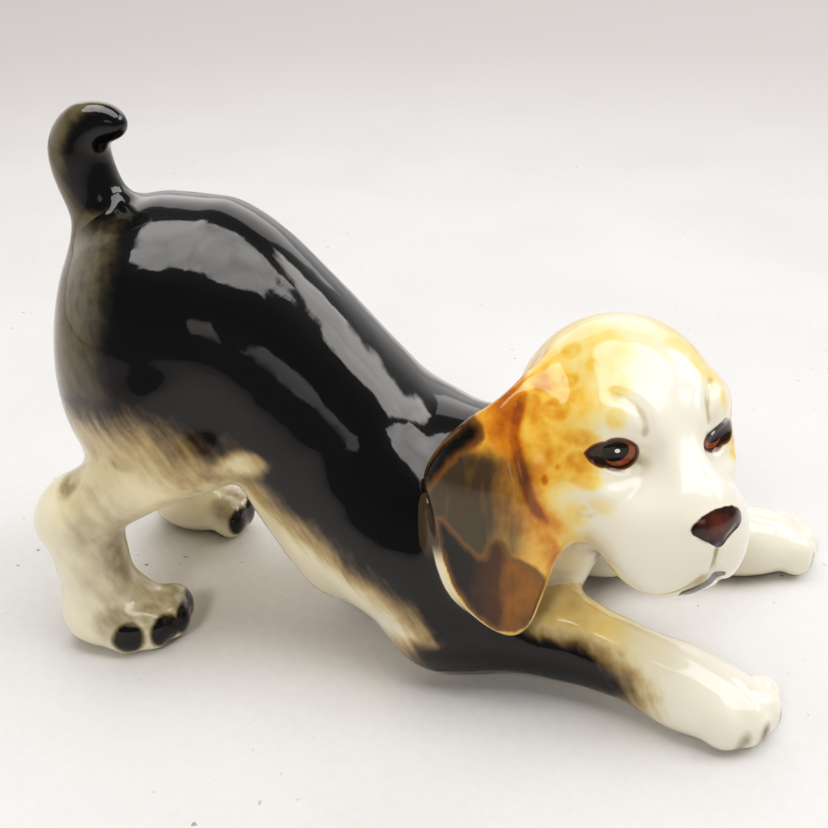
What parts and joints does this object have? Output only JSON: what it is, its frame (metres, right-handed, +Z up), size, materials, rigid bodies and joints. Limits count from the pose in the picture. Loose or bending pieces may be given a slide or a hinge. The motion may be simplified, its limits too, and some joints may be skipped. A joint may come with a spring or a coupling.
{
  "type": "ceramic dog figurine",
  "caption": "Glazed ceramic beagle puppy in a play bow, hindquarters raised, forelegs stretched out and head turned to its right.",
  "frame": {"origin": "middle of the footprint on the surface that the four soles rest on", "axes": "+Z up; the dog faces -Y, its own left side on +X"},
  "size_m": [0.0972, 0.1912, 0.125],
  "materials": {
    "black_coat_glaze": "gloss",
    "tan_head_glaze": "gloss",
    "cream_limb_glaze": "gloss"
  },
  "bodies": {
    "root": {"torso": "black_coat_glaze", "tail": "black_coat_glaze", "head": "tan_head_glaze", "ear_left": "tan_head_glaze", "ear_right": "tan_head_glaze", "foreleg_left": "cream_limb_glaze", "foreleg_right": "cream_limb_glaze", "hind_leg_left": "cream_limb_glaze", "hind_leg_right": "cream_limb_glaze"}
  },
  "joints": []
}
